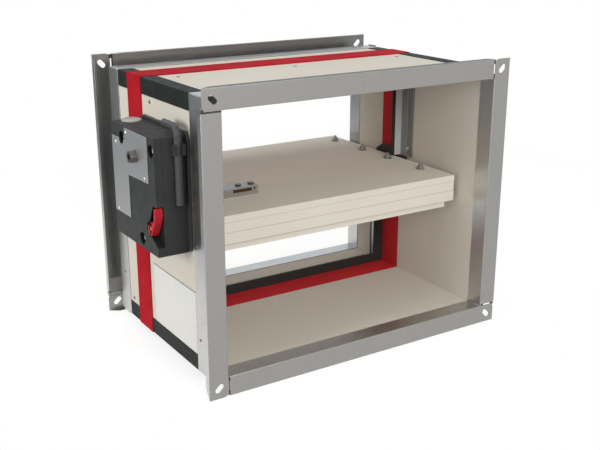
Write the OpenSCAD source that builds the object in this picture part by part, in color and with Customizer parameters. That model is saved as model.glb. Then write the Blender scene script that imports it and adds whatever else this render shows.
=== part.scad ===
// Rectangular fire damper: board casing, two folded flanges, blade on a cross axis, side release box
// Origin: centre of the duct opening, on the front flange face. +X right, +Y to the rear, +Z up

/* [Duct] */

// Clear width of the duct opening
duct_w = 496; // [476:10:596]

// Clear height of the duct opening
duct_h = 396; // [386:10:436]

// Overall length, front flange face to rear flange face
length = 400; // [396:1:412]

// Thickness of the casing boards
board_t = 13; // [12:0.5:14]

/* [Flanges] */

// Width of the flange face
flange_w = 32; // [31:0.5:36]

// Thickness of the flange face
flange_t = 1.5; // [1.2:0.1:2]

// Thickness of the folded legs
leg_t = 1; // [0.8:0.1:1.2]

// Length of the neck from the flange face to the casing
neck = 33; // [28:1:34]

// Length of the leg on the outside of the casing
outer_leg = 37; // [30:1:38]

// Depth of the return lip
lip_d = 11; // [8:0.5:14]

// Gap where two flange pieces meet
joint_gap = 2.5; // [1.5:0.5:4]

// Width of the corner slot
slot_w = 8.5; // [7:0.5:9.5]

// End to end length of the corner slot
slot_len = 16; // [14:0.5:18]

// Distance of the slot's centre from both outer edges
slot_inset = 16.5; // [15:0.5:17]

/* [Strips] */

// Width of the coloured strip round the outside
band_w = 53; // [46:1:56]

// Thickness of the coloured strip round the outside
band_t = 2; // [1.5:0.1:2.5]

// Middle of the outside strip, from the front face
band_mid = 264; // [262:0.5:266]

// Width of the strip let into the duct walls
seal_w = 57; // [50:1:60]

// Middle of the inside strip, from the front face
seal_mid = 264.5; // [262:0.5:266]

// Leg width of the black corner profiles
profile_leg = 25; // [20:1:28]

/* [Blade] */

// Position of the blade axis, from the front face
axis_y = 261; // [259:0.5:263]

// Thickness of the blade's three full boards together
blade_t = 45; // [44:0.5:46]

// Thickness of the smaller board under the blade
inset_t = 12; // [8:0.5:12]

// Gap from the blade's side edge to the duct wall
side_gap = 9; // [9:0.5:10]

// Gap from the closed blade's end to the duct wall
end_gap = 12.5; // [12.5:0.5:14]

// Radius of the blade's axle pins
pin_r = 7; // [6:0.5:8]

/* [Stops] */

// Height of the steel stop angles
stop_h = 15.5; // [14:0.5:16]

// Reach of the side seals from the duct wall
seal_reach_side = 21.5; // [18:0.5:21.5]

// Reach of the end seals from the duct wall
seal_reach_end = 17.5; // [16:0.5:17.5]

// Length of a stop angle's leg on the wall
stop_leg = 34; // [28:1:38]

/* [Release box] */

// Depth of the housing from its base plate
box_d = 47; // [44:1:50]

// Front face of the housing, from the front flange face
box_front = 82; // [80:1:84]

// Rear face of the housing, from the front flange face
box_back = 237; // [236:1:242]

// Top of the housing above the duct's middle
box_top = 151; // [150:1:154]

// Underside of the housing from the duct's middle
box_bottom = -25; // [-30:1:-24]

// Height of the hex key's short arm above the duct's middle
key_top = 165; // [163:0.5:167]

// Across flats of the hex key and its socket
hex_af = 10; // [8:0.5:10]

/* [Hidden] */

$fn = 48;
eps = 0.01;
fit = 0.05;              // running clearance on a radius
rest_gap = 0.3;          // closed blade to seal
half_w = duct_w / 2;
half_h = duct_h / 2;
out_w = half_w + flange_w;
out_h = half_h + flange_w;
wall_w = half_w + leg_t;             // inner faces of the boards
wall_h = half_h + leg_t;
skin_w = wall_w + board_t;           // outer faces of the boards
skin_h = wall_h + board_t;
leg_end = neck + outer_leg;
corner_side = 7;                     // corner cut along the outer edge
corner_end = 3;                      // corner cut along the joint
end_flap = 4;                        // edge folded back at a piece's plain end
joint_tab = 7;                       // small tabs behind a joint
tuck = 2;                            // upper and lower pieces stop short of the side lips
seam = 0.3;                          // between neighbouring legs
lip_start = 2;
lip_slant = 14;                      // at the corner tab
lip_end_slant = 8.5;                 // at the other end
tab_h = 3.5;                         // corner tabs of the rear side pieces
tab_y = [39, 62];
seal_depth = 2;
profile_t = 1;
blade_x = wall_w - side_gap;
blade_half = wall_h - end_gap;
layer_top = 11;                      // thicknesses of the blade's boards
layer_low = 18;
layer_step = 0.4;                    // middle board is a little smaller, so the joints show
inset_side = 13;                     // the small board stays clear of the seals
inset_end = 7.5;
stop_t = 1.5;
gasket_t = 1.8;
stop_end = blade_t / 2 + 3.5;        // where the side stops end near the axis
stop_lip = 3;
seal_front = axis_y - blade_t / 2 - rest_gap - gasket_t;   // front face of the upper seal
stop_front = seal_front - stop_t;
bearing_t = 4;
hub_gap = 1.5;
hub_r = 14;
pin_in_blade = 50;
stud_x = blade_x - 23;
stud_y = [for (d = [-122, -27, 52, 144]) axis_y + d];
stud_r = 3;
washer_r = 8;
washer_t = 1.5;
nut_af = 10;
nut_h = 5;
stud_top = 11;
bracket_len = 122.5;
bracket_w = 27;
bracket_h = 14.5;
bracket_t = 2.5;
bracket_edge = 14;                   // from the blade's left edge
bracket_ahead = 104;                 // ahead of the blade axis
bracket_x = [-blade_x + bracket_edge, -blade_x + bracket_edge + bracket_len];
bracket_y = [axis_y - bracket_ahead, axis_y - bracket_ahead + bracket_w];
bracket_bolt_x = [bracket_x[1] - 29.5, bracket_x[1] - 6.5];
bracket_bolt_y = axis_y - bracket_ahead + bracket_w / 2 + 0.5;
bolt_head_h = 2.2;
window_x = [bracket_x[1] - 46, bracket_x[1] - 12.5];   // window in the bracket's front web
window_z = [6.7, 11.8];
bracket_block_len = 49;
bracket_block_gap = 2;
base_t = 5;
base_face = skin_w + base_t;
box_face = base_face + box_d;
box_wall = 3;
rim = 6;
rim_front = 10;
rim_r = 12;
screw_at = [[box_back - 37, box_top - 19], [box_front + 12, box_top - 20],
  [box_front + 56, box_bottom + 15]];
recess_r = 9.6;
recess_d = 8;
groove = 0.6;                        // parting line of the housing
cover_d = 11.5;                      // its depth from the left face
spindle_y = box_front + 66;
spindle_z = box_top - 38;
spindle_r = 9;
spindle_out = 11;
plate_t = 1;
key_x = skin_w + 18;
key_y = box_front - hex_af / 2 - 1;
key_bend = 12;
key_long = 114;
key_short = 44;
clip_z = [125, 141];
lever_out = 2;                       // lever in front of the housing's left face and behind it
lever_in = 11;
lever_pivot = [box_front + 4.6, 45.5];
lever_pin_r = 1.2;
// Lever, its eye and its pocket, measured from the housing's front face and the duct's middle
lever_outline = [[1.5, 48.5], [2.5, 38], [7, 24], [12.5, 7], [15, 4], [23.5, 3.6], [30, 6.5],
  [34.5, 11.4], [31.5, 18], [25.5, 23], [18, 25.5], [13.5, 26.5], [8.3, 36], [6.8, 48.5]];
lever_eye = [[17, 20.5], [16, 13.5], [19.5, 8.5], [24, 8], [27.5, 12], [26, 18.5], [21.5, 21]];
pocket_outline = [[-1, 50.5], [12.6, 50.5], [26.6, 24.5], [35, 20.5], [37.9, 10.5],
  [28, 1.5], [21.5, 0], [-1, -12.5]];
pocket_block = [40.5, -17, 53.5];    // rear end, underside and top of the solid round the pocket
bearing_outline = [[-45, -25], [-27, -36.5], [-2, -36.5], [5, -25], [45, -25],
  [45, 25], [27, 36.5], [2, 36.5], [-5, 25], [-45, 25]];
plate_outline = [[box_back - 1, 11], [box_back - 59, 12], [box_back - 59, 79],
  [box_front + 23, 81], [box_front + 23, box_top - 2], [box_back - 51, box_top - 2],
  [box_back - 51, box_top - 20], [box_back - 1, box_top - 21]];
rivet_at = [[box_back - 57, box_top - 8], [box_back - 16, box_top - 29],
  [box_front + 35, 86], [box_back - 14, 16]];
rivet_r = 2.4;
cap_r = 15.5;
cap_inset = [21, 16];                // from the base plate and from the housing's rear face
cap_t = [2.2, 3];                    // rim and middle
clip_reach = [3, 5];                 // beyond the key towards the cover and towards the base
cover_r = 19;
cover_t = 4;
board_screw_r = 3.4;
board_screw_h = 0.8;
board_screw_in = 25;                 // from a corner profile's edge, on the top and underside
side_screw_in = 8.5;                 // the same on the sides
board_screw_ahead = 51;              // ahead of the blade axis
side_screw_ahead = 52.5;
screw_before_leg = 15;               // ahead of the rear flange's leg
board_screw_x = skin_w - profile_leg - board_screw_in;
board_screw_z = skin_h - profile_leg - side_screw_in;
rear_screw_y = length - leg_end - screw_before_leg;
leg_screw_r = 2;
leg_screw_z = [[-159, -10], [-140, 9]];   // front and rear flange
leg_screw_in = [59, 54];             // from the flange face
stop_screw_r = 2.6;
stop_screw_z = [41, 165];
label_w = 151;
label_h = 101;
label_t = 0.4;
stud_foot = 4;                       // board left under a stud's end

// Box given by its two corners
module block(a, b) {
  translate(a) cube(b - a);
}

// Regular hexagonal prism along Z, size across flats
module hex_bar(af, h) {
  cylinder(r = af / 2 / cos(30), h = h, $fn = 6);
}

// Cylinder along +X
module rod_x(r, h) {
  rotate([0, 90, 0]) cylinder(r = r, h = h);
}

// Casing

module pin_passage() {
  translate([-skin_w - 1, axis_y, 0]) rod_x(pin_r + 1, board_t + 2);
}

module inner_strip_space() {
  difference() {
    block([-wall_w - seal_depth, seal_mid - seal_w / 2, -wall_h - seal_depth],
      [wall_w + seal_depth, seal_mid + seal_w / 2, wall_h + seal_depth]);
    block([-wall_w, 0, -wall_h], [wall_w, length, wall_h]);
  }
}

module casing_board(a, b) {
  color([0.86, 0.82, 0.74]) difference() {
    block(a, b);
    inner_strip_space();
    pin_passage();
  }
}

module board_top() {
  casing_board([-skin_w, neck, wall_h], [skin_w, length - neck, skin_h]);
}

module board_bottom() {
  casing_board([-skin_w, neck, -skin_h], [skin_w, length - neck, -wall_h]);
}

module board_left() {
  casing_board([-skin_w, neck, -wall_h], [-wall_w, length - neck, wall_h]);
}

module board_right() {
  casing_board([wall_w, neck, -wall_h], [skin_w, length - neck, wall_h]);
}

// Angle over one long edge of the casing, between the flanges' outer legs
module corner_profile(sx, sz) {
  color([0.15, 0.16, 0.15]) scale([sx, 1, sz]) {
    block([skin_w - profile_leg, leg_end, skin_h],
      [skin_w + profile_t, length - leg_end, skin_h + profile_t]);
    block([skin_w, leg_end, skin_h - profile_leg],
      [skin_w + profile_t, length - leg_end, skin_h + profile_t]);
  }
}

module corner_profile_top_left() {
  corner_profile(-1, 1);
}

module corner_profile_top_right() {
  corner_profile(1, 1);
}

module corner_profile_bottom_left() {
  corner_profile(-1, -1);
}

module corner_profile_bottom_right() {
  corner_profile(1, -1);
}

module outer_strip_box(grow) {
  block([-skin_w - grow, band_mid - band_w / 2, -skin_h - grow],
    [skin_w + grow, band_mid + band_w / 2, skin_h + grow]);
}

module outer_strip() {
  color([0.72, 0.13, 0.18]) difference() {
    outer_strip_box(band_t);
    block([-skin_w, 0, -skin_h], [skin_w, length, skin_h]);
    corner_profile(-1, 1);
    corner_profile(1, 1);
    corner_profile(-1, -1);
    corner_profile(1, -1);
  }
}

module inner_strip() {
  color([0.55, 0.1, 0.13]) difference() {
    inner_strip_space();
    pin_passage();
  }
}

// Flanges

// Flange piece along the top edge, u is half its run and v its inner edge height.
// One folded sheet: face with slot and return lip, neck, web over the boards' ends, leg on the boards.
// Its plain end is folded back and has two small tabs behind the joint
module flange_piece(u, v, short = 0, tab = 0) {
  face_end = u - joint_gap;
  face_top = v + flange_w;
  corner = u + flange_w - short;
  run = u + leg_t + board_t;
  leg_z = v + leg_t + board_t;
  color([0.62, 0.62, 0.61]) difference() {
    union() {
      translate([0, flange_t, 0]) rotate([90, 0, 0]) linear_extrude(flange_t)
        polygon([[-corner + corner_end, v], [face_end, v], [face_end, face_top],
          [-corner, face_top], [-corner, v + corner_side]]);
      translate([0, 0, face_top - flange_t]) linear_extrude(flange_t)
        polygon([[-corner + lip_start, flange_t - eps], [face_end, flange_t - eps],
          [face_end - lip_end_slant, lip_d], [-corner + lip_start + lip_slant, lip_d]]);
      block([-u, eps, v], [u, neck, v + leg_t]);
      block([face_end - flange_t, flange_t - eps, v], [face_end, flange_t + end_flap, face_top - eps]);
      for (z = [v + leg_t, face_top - flange_t - joint_tab])
        block([face_end - leg_t, flange_t, z], [u + joint_gap, flange_t + leg_t, z + joint_tab]);
      block([-run - leg_t, neck - leg_t, v], [u, neck, leg_z + leg_t]);
      block([-run - leg_t, neck - eps, leg_z], [run - seam, leg_end, leg_z + leg_t]);
      if (tab > 0) block([run - leg_t, tab_y[0], leg_z], [run + tab, tab_y[1], leg_z + leg_t]);
    }
    translate([-corner + slot_inset, 0, face_top - slot_inset]) rotate([0, 45, 0]) {
      for (s = [-1, 1]) translate([s * (slot_len - slot_w) / 2, flange_t + 1, 0])
        rotate([90, 0, 0]) cylinder(d = slot_w, h = flange_t + 2);
      block([-(slot_len - slot_w) / 2, -1, -slot_w / 2],
        [(slot_len - slot_w) / 2, flange_t + 1, slot_w / 2]);
    }
    if (short > 0) block([-run - leg_t - 1, tab_y[0] - seam, leg_z - 1],
      [-run + seam, tab_y[1] + seam, leg_z + leg_t + 1]);
  }
}

module front_flange_top() {
  flange_piece(half_w, half_h, tuck);
}

module front_flange_right() {
  rotate([0, 90, 0]) flange_piece(half_h, half_w);
}

module front_flange_bottom() {
  rotate([0, 180, 0]) flange_piece(half_w, half_h, tuck);
}

module front_flange_left() {
  rotate([0, 270, 0]) flange_piece(half_h, half_w);
}

module to_rear() {
  translate([0, length, 0]) rotate([0, 0, 180]) children();
}

module rear_flange_top() {
  to_rear() front_flange_top();
}

module rear_flange_left() {
  to_rear() rotate([0, 90, 0]) flange_piece(half_h, half_w, 0, tab_h);
}

module rear_flange_bottom() {
  to_rear() front_flange_bottom();
}

module rear_flange_right() {
  to_rear() rotate([0, 270, 0]) flange_piece(half_h, half_w, 0, tab_h);
}

// Small round-headed screw, its head lying on the surface at the origin and facing +Z
module small_screw(r) {
  intersection() {
    cylinder(r = r, h = r);
    translate([0, 0, -0.6 * r]) sphere(r = 1.2 * r, $fn = 24);
  }
}

module flange_screws() {
  color([0.4, 0.42, 0.45]) for (s = [-1, 1]) for (end = [0, 1]) for (z = leg_screw_z[end])
    translate([s * (skin_w + leg_t),
      (s < 0) == (end == 0) ? leg_screw_in[end] : length - leg_screw_in[end], z])
      rotate([0, s * 90, 0]) small_screw(leg_screw_r);
}

module board_screws() {
  color([0.5, 0.48, 0.45]) {
    for (x = [-board_screw_x, 0, board_screw_x]) {
      translate([x, axis_y - board_screw_ahead, skin_h])
        cylinder(r = board_screw_r, h = board_screw_h);
      translate([x, rear_screw_y, -skin_h - board_screw_h])
        cylinder(r = board_screw_r, h = board_screw_h);
    }
    for (m = [[axis_y - side_screw_ahead, board_screw_z], [rear_screw_y, -board_screw_z]]) {
      translate([-skin_w - board_screw_h, m[0], m[1]]) rod_x(board_screw_r, board_screw_h);
      translate([skin_w, m[0], m[1]]) rod_x(board_screw_r, board_screw_h);
    }
  }
}

// Blade stops: angles with an upstand near the blade and a leg on the wall, drawn on the top wall

module stop_angle(a, b, wall) {
  color([0.55, 0.56, 0.56]) {
    block([a, stop_front, wall - stop_h], [b, seal_front, wall]);
    block([a, stop_front - stop_leg, wall - leg_t], [b, stop_front + eps, wall]);
    block([a, stop_front - stop_leg, wall - stop_lip], [b, stop_front - stop_leg + leg_t, wall]);
  }
}

module stop_upper_top() {
  stop_angle(-wall_w + stop_h + 1, wall_w - stop_h - 1, wall_h);
}

module stop_upper_right() {
  rotate([0, 90, 0]) stop_angle(-wall_h, -stop_end, wall_w);
}

module stop_upper_left() {
  rotate([0, -90, 0]) stop_angle(stop_end, wall_h, wall_w);
}

// The lower stops are the upper ones turned half a turn about the blade axis
module turn_about_axis() {
  translate([0, axis_y, 0]) rotate([180, 0, 0]) translate([0, -axis_y, 0]) children();
}

module stop_lower_bottom() {
  turn_about_axis() stop_upper_top();
}

module stop_lower_left() {
  turn_about_axis() stop_upper_left();
}

module stop_lower_right() {
  turn_about_axis() stop_upper_right();
}

module stop_screws() {
  color([0.66, 0.67, 0.68]) for (turn = [0, 1]) for (s = [-1, 1]) for (z = stop_screw_z)
    translate([0, axis_y, 0]) rotate([180 * turn, 0, 0])
      translate([s * (wall_w - leg_t), stop_front - 0.6 * stop_leg - axis_y, z])
        rotate([0, -s * 90, 0]) small_screw(stop_screw_r);
}

module gasket_upper() {
  color([0.1, 0.1, 0.1]) difference() {
    block([-wall_w, seal_front, stop_end], [wall_w, seal_front + gasket_t, wall_h]);
    block([-wall_w + seal_reach_side, seal_front - 1, stop_end - 1],
      [wall_w - seal_reach_side, seal_front + gasket_t + 1, wall_h - seal_reach_end]);
  }
}

module gasket_lower() {
  turn_about_axis() gasket_upper();
}

// Bearings

module bearing_right() {
  color([0.12, 0.12, 0.12]) translate([0, axis_y, 0]) difference() {
    union() {
      translate([wall_w - bearing_t, 0, 0]) rotate([90, 0, 90]) linear_extrude(bearing_t)
        polygon(bearing_outline);
      translate([blade_x + hub_gap, 0, 0]) rod_x(hub_r, side_gap - hub_gap);
    }
    translate([blade_x, 0, 0]) rod_x(pin_r + fit, side_gap + 1);
  }
}

module bearing_left() {
  mirror([1, 0, 0]) bearing_right();
}

module axle_cover() {
  color([0.12, 0.12, 0.12]) translate([-skin_w - band_t - cover_t, axis_y, 0]) rod_x(cover_r, cover_t);
}

// Release box

module product_label() {
  color([0.9, 0.9, 0.89]) translate([-skin_w - label_t, leg_end + 2, -skin_h + profile_leg])
    cube([label_t, label_w, label_h]);
}

module box_base() {
  color([0.11, 0.11, 0.11]) difference() {
    hull() for (y = [box_front - rim_front + rim_r, box_back - rim_r])
      for (z = [box_bottom + rim_r, box_top + rim - rim_r])
        translate([-base_face, y, z]) rod_x(rim_r, base_t);
    outer_strip_box(band_t);
  }
}

module box_housing() {
  color([0.24, 0.25, 0.26]) difference() {
    union() {
      difference() {
        block([-box_face, box_front, box_bottom], [-base_face, box_back, box_top]);
        block([-box_face + box_wall, box_front + box_wall, box_bottom + box_wall],
          [-base_face + 1, box_back - box_wall, box_top - box_wall]);
      }
      intersection() {
        for (p = screw_at) translate([-box_face, p[0], p[1]]) rod_x(recess_r + box_wall, box_d);
        block([-box_face, box_front, box_bottom], [-base_face, box_back, box_top]);
      }
      block([-box_face, box_front, pocket_block[1]],
        [-box_face + cover_d + box_wall, box_front + pocket_block[0], pocket_block[2]]);
      key_clip();
    }
    for (p = screw_at) translate([-box_face - 1, p[0], p[1]]) {
      rod_x(recess_r, recess_d + 1);
      rod_x(stud_r + fit, box_d + 2);
    }
    lever_pocket();
    difference() {
      block([-box_face + cover_d, box_front - 1, box_bottom - 1],
        [-box_face + cover_d + groove, box_back + 1, box_top + 1]);
      block([-box_face, box_front + groove, box_bottom + groove],
        [-base_face, box_back - groove, box_top - groove]);
    }
    translate([-box_face - 1, spindle_y, spindle_z]) rod_x(spindle_r + fit, box_wall + 2);
  }
  color([0.24, 0.25, 0.26]) translate([-box_face, lever_pivot[0], lever_pivot[1]])
    rod_x(lever_pin_r, cover_d + box_wall / 2);
}

// Pocket for the lever, open to the front and to the left
module lever_pocket() {
  translate([-box_face - 1, box_front, 0]) rotate([90, 0, 90]) linear_extrude(cover_d + 1)
    polygon(pocket_outline);
}

// Jaws that hold the long arm of the hex key
module key_clip() {
  difference() {
    block([-key_x - hex_af / 2 - clip_reach[0], box_front - hex_af - 3, clip_z[0]],
      [-key_x + hex_af / 2 + clip_reach[1], box_front, clip_z[1]]);
    translate([-key_x, key_y, clip_z[0] - 1]) rotate([0, 0, 30]) hex_bar(hex_af + 2 * fit, 18);
    block([-key_x - hex_af / 2 + 1, box_front - hex_af - 4, clip_z[0] - 1],
      [-key_x + hex_af / 2 - 1, key_y, clip_z[1] + 1]);
  }
}

module box_plate() {
  color([0.66, 0.67, 0.67]) difference() {
    translate([-box_face - plate_t, 0, 0]) rotate([90, 0, 90]) linear_extrude(plate_t)
      polygon(plate_outline);
    translate([-box_face - plate_t - 1, screw_at[0][0], screw_at[0][1]]) rod_x(recess_r + 0.5, 3);
    translate([-box_face - plate_t - 1, spindle_y, spindle_z]) rod_x(spindle_r + 0.3, 3);
  }
}

module plate_rivets() {
  color([0.8, 0.8, 0.8]) for (p = rivet_at)
    translate([-box_face - plate_t, p[0], p[1]]) rotate([0, -90, 0]) small_screw(rivet_r);
}

module box_screws() {
  color([0.75, 0.76, 0.77]) for (p = screw_at) translate([-box_face + recess_d - 3, p[0], p[1]]) {
    difference() {
      rod_x(5.4, 3);
      translate([-1, 0, 0]) rotate([0, 90, 0]) hex_bar(4, 2.5);
    }
    rod_x(stud_r, box_d - recess_d + 3);
  }
}

module entry_cap() {
  color([0.82, 0.84, 0.82]) translate([-base_face - cap_inset[0], box_back - cap_inset[1], box_top]) {
    cylinder(r = cap_r, h = cap_t[0]);
    cylinder(r = cap_r - 2.5, h = cap_t[1]);
  }
}

module hex_key() {
  color([0.38, 0.38, 0.4]) translate([-key_x, key_y, key_top]) {
    translate([0, 0, -key_long]) rotate([0, 0, 30]) hex_bar(hex_af, key_long - key_bend);
    translate([0, key_bend, 0]) rotate([-90, 30, 0]) hex_bar(hex_af, key_short - key_bend);
    translate([0, key_bend, -key_bend]) rotate([0, -90, 0]) rotate([0, 0, -90])
      rotate_extrude(angle = 90) translate([key_bend, 0]) circle(r = hex_af / 2 / cos(30), $fn = 6);
  }
}

// Blade, drawn open as in the photo

module blade_holes() {
  for (s = [-1, 1]) {
    translate([s > 0 ? blade_x - pin_in_blade : -blade_x - 1, axis_y, 0])
      rod_x(pin_r, pin_in_blade + 1);
    for (y = stud_y) translate([s * stud_x, y, -blade_t / 2 + stud_foot]) cylinder(r = stud_r, h = blade_t);
  }
  for (x = bracket_bolt_x) translate([x, bracket_bolt_y, 0]) cylinder(r = stud_r, h = blade_t);
}

module blade_board(x, y, z0, z1) {
  color([0.84, 0.8, 0.72]) difference() {
    block([-x, axis_y - y, z0], [x, axis_y + y, z1]);
    blade_holes();
  }
}

module blade_board_top() {
  blade_board(blade_x, blade_half, blade_t / 2 - layer_top, blade_t / 2);
}

module blade_board_middle() {
  blade_board(blade_x - layer_step, blade_half - layer_step, -blade_t / 2 + layer_low,
    blade_t / 2 - layer_top);
}

module blade_board_lower() {
  blade_board(blade_x, blade_half, -blade_t / 2, -blade_t / 2 + layer_low);
}

module blade_board_small() {
  blade_board(blade_x - inset_side, blade_half - inset_end, -blade_t / 2 - inset_t, -blade_t / 2);
}

module blade_studs() {
  color([0.45, 0.45, 0.45]) for (s = [-1, 1]) for (y = stud_y)
    translate([s * stud_x, y, -blade_t / 2 + stud_foot])
      cylinder(r = stud_r, h = blade_t - stud_foot + stud_top);
}

module blade_washers() {
  color([0.5, 0.5, 0.5]) for (s = [-1, 1]) for (y = stud_y)
    translate([s * stud_x, y, blade_t / 2]) difference() {
      cylinder(r = washer_r, h = washer_t);
      translate([0, 0, -1]) cylinder(r = stud_r, h = washer_t + 2);
    }
}

module nut(z) {
  translate([0, 0, z]) difference() {
    hex_bar(nut_af, nut_h);
    translate([0, 0, -1]) cylinder(r = stud_r, h = nut_h + 2);
  }
}

module blade_nuts() {
  color([0.4, 0.4, 0.4]) for (s = [-1, 1]) for (y = stud_y)
    translate([s * stud_x, y, 0]) nut(blade_t / 2 + washer_t);
}

// Channel on the blade's left half, with a window in its front web
module blade_bracket() {
  z0 = blade_t / 2;
  color([0.6, 0.6, 0.58]) difference() {
    block([bracket_x[0], bracket_y[0], z0], [bracket_x[1], bracket_y[1], z0 + bracket_h]);
    block([bracket_x[0] - 1, bracket_y[0] + bracket_t, z0 + bracket_t],
      [bracket_x[1] - bracket_t, bracket_y[1] + 1, z0 + bracket_h - bracket_t]);
    block([window_x[0], bracket_y[0] - 1, z0 + window_z[0]],
      [window_x[1], bracket_y[0] + bracket_t + 1, z0 + window_z[1]]);
    for (x = bracket_bolt_x) translate([x, bracket_bolt_y, z0 - 1]) cylinder(r = stud_r, h = bracket_h + 2);
    translate([bracket_x[1] - 7, bracket_y[0] - 1, z0 + 10.5]) rotate([-90, 0, 0])
      cylinder(r = 1.7, h = bracket_t + 2);
  }
}

module bracket_bolts() {
  color([0.35, 0.35, 0.36]) for (x = bracket_bolt_x) translate([x, bracket_bolt_y, 0]) {
    translate([0, 0, blade_t / 2 + bracket_h]) hex_bar(nut_af, bolt_head_h);
    cylinder(r = stud_r, h = blade_t / 2 + bracket_h + 1);
  }
}

module bracket_block() {
  color([0.45, 0.25, 0.14]) difference() {
    block([bracket_x[1] - bracket_t - bracket_block_len, bracket_y[0] + bracket_t + bracket_block_gap,
      blade_t / 2 + bracket_t], [bracket_x[1] - bracket_t, bracket_y[1] - bracket_block_gap,
      blade_t / 2 + bracket_h - bracket_t - bracket_block_gap]);
    for (x = bracket_bolt_x) translate([x, bracket_bolt_y, 0]) cylinder(r = stud_r, h = blade_t);
  }
}

module axle_pin_right() {
  color([0.6, 0.6, 0.6]) translate([blade_x - pin_in_blade, axis_y, 0])
    rod_x(pin_r, pin_in_blade + side_gap - 0.2);
}

module axle_pin_left() {
  color([0.6, 0.6, 0.6]) translate([-skin_w + 0.2, axis_y, 0])
    rod_x(pin_r, skin_w - 0.2 - blade_x + pin_in_blade);
}

// Spindle and lever

module spindle() {
  color([0.5, 0.49, 0.48]) translate([-box_face - spindle_out, spindle_y, spindle_z]) difference() {
    rod_x(spindle_r, spindle_out + box_d - 0.2);
    translate([-1, 0, 0]) rotate([0, 90, 0]) hex_bar(hex_af + 0.2, 10);
  }
}

module release_lever() {
  color([0.8, 0.12, 0.16]) difference() {
    translate([-box_face - lever_out, box_front, 0]) rotate([90, 0, 90])
      linear_extrude(lever_out + lever_in) difference() {
        polygon(lever_outline);
        polygon(lever_eye);
      }
    translate([-box_face - lever_out - 1, lever_pivot[0], lever_pivot[1]])
      rod_x(lever_pin_r + fit, lever_out + lever_in + 2);
  }
}

board_top();
board_bottom();
board_left();
board_right();
corner_profile_top_left();
corner_profile_top_right();
corner_profile_bottom_left();
corner_profile_bottom_right();
outer_strip();
inner_strip();
front_flange_top();
front_flange_left();
front_flange_bottom();
front_flange_right();
rear_flange_top();
rear_flange_left();
rear_flange_bottom();
rear_flange_right();
flange_screws();
board_screws();
stop_upper_left();
stop_upper_top();
stop_upper_right();
stop_lower_left();
stop_lower_bottom();
stop_lower_right();
stop_screws();
gasket_upper();
gasket_lower();
bearing_left();
bearing_right();
axle_cover();
product_label();
box_base();
box_housing();
box_plate();
plate_rivets();
box_screws();
entry_cap();
hex_key();
blade_board_top();
blade_board_middle();
blade_board_lower();
blade_board_small();
blade_studs();
blade_washers();
blade_nuts();
blade_bracket();
bracket_bolts();
bracket_block();
axle_pin_left();
axle_pin_right();
spindle();
release_lever();
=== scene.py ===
# Rectangular fire damper: finishes, fasteners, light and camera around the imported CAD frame.
# Everything is in metres, in the frame of the CAD model. Helpers take millimetres where the name says mm.
import bpy
import bmesh
import math
import random
from mathutils import Matrix, Vector


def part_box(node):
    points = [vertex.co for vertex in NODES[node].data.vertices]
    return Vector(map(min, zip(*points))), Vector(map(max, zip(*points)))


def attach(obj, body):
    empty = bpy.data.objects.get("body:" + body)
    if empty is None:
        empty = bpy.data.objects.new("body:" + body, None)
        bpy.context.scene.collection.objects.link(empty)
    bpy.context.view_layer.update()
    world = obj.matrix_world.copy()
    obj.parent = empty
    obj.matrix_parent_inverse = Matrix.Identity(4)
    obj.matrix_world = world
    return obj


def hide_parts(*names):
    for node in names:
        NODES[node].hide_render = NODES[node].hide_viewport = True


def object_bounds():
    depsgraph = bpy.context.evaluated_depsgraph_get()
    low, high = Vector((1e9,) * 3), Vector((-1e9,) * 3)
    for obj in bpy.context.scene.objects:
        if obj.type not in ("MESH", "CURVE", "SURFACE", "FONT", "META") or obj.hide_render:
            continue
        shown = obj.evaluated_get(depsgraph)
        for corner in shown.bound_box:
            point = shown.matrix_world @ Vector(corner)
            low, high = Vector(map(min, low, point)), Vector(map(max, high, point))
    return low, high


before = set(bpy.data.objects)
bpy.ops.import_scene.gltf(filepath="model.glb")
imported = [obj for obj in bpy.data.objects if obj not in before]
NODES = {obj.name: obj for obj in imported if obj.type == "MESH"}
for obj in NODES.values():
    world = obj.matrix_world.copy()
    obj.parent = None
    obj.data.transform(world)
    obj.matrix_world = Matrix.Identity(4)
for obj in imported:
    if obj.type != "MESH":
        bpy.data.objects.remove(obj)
CAD_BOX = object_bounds()
MM = 0.001
random.seed(7)


# Materials

def rgb(r, g, b):
    """A colour as it looks on screen, 0 to 255, as linear values."""
    def lin(v):
        v /= 255
        return v / 12.92 if v <= 0.04045 else ((v + 0.055) / 1.055) ** 2.4
    return (lin(r), lin(g), lin(b), 1)


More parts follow.
